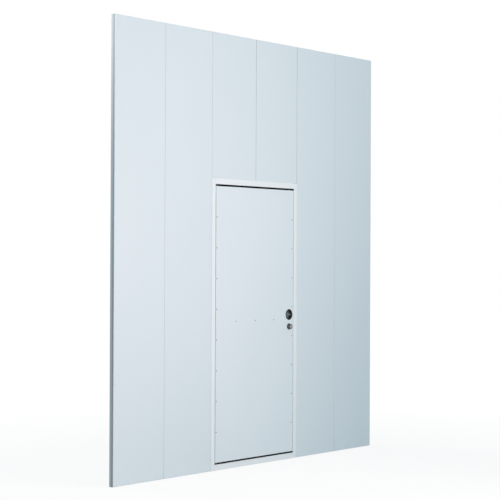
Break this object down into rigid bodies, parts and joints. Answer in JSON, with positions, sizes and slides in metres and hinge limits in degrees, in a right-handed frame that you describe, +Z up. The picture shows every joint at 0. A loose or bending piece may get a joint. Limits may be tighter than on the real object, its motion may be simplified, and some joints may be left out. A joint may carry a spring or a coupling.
{
  "type": "flush door in panel wall",
  "caption": "Flush steel door with a sunken turning handle and a cylinder lock, hung on pivots in a white frame between folded upright wall panels.",
  "frame": {"origin": "on the underside of the door sill, in the middle of the wall's width, in the plane of the panels' outer faces", "axes": "+X along the wall to the right as seen from outside, +Y from the outside to the inside, +Z up"},
  "size_m": [2.702, 0.0906, 2.85],
  "materials": {
    "panel_paint": "smooth semi-gloss paint, pale blue-grey white",
    "leaf_paint": "smooth semi-gloss paint, pale blue-grey white",
    "frame_paint": "smooth white paint",
    "galvanised": "dull galvanised",
    "seal_rubber": "matt black",
    "fitting_steel": "plated steel",
    "satin_black": "satin black",
    "handle_metal": "dark satin metal",
    "lock_metal": "dark satin metal",
    "plug_metal": "satin nickel"
  },
  "bodies": {
    "wall": {"left_outer_panel": "panel_paint", "left_inner_panel": "panel_paint", "over_door_left_panel": "panel_paint", "over_door_right_panel": "panel_paint", "right_inner_panel": "panel_paint", "right_outer_panel": "panel_paint", "left_outer_ribs": "galvanised", "left_inner_ribs": "galvanised", "over_door_left_rib": "galvanised", "over_door_right_rib": "galvanised", "right_inner_ribs": "galvanised", "right_outer_ribs": "galvanised", "left_end_angle": "panel_paint", "right_end_angle": "panel_paint", "frame_hinge_jamb": "frame_paint", "frame_lock_jamb": "frame_paint", "frame_head": "frame_paint", "frame_sill": "frame_paint", "frame_brackets": "galvanised", "door_seal": "seal_rubber", "top_pivot": "satin_black", "bottom_pivot": "satin_black", "strike_plate": "fitting_steel", "latch_keeper": "fitting_steel"},
    "door": {"leaf_front_skin": "leaf_paint", "leaf_back_skin": "leaf_paint", "leaf_top_cap": "leaf_paint", "leaf_bottom_cap": "leaf_paint", "leaf_hinge_stile": "galvanised", "leaf_lock_stile": "galvanised", "leaf_lock_rail": "galvanised", "top_pivot_socket": "fitting_steel", "bottom_pivot_socket": "fitting_steel", "handle_cup": "satin_black", "lock_cylinder": "lock_metal", "key_plug": "plug_metal", "thumb_turn": "lock_metal", "lock_face_plate": "fitting_steel"},
    "latch": {"turn_grip": "handle_metal", "latch_cam": "fitting_steel"}
  },
  "joints": [
    {"name": "door_swing", "type": "hinge", "parent": "wall", "child": "door", "pos_m": [-0.402, 0.006, 0.95], "axis": [0, 0, -1], "range_deg": [0, 90]},
    {"name": "latch_turn", "type": "hinge", "parent": "door", "child": "latch", "pos_m": [0.364, 0.017, 0.994], "axis": [0, 1, 0], "range_deg": [0, 90]}
  ]
}
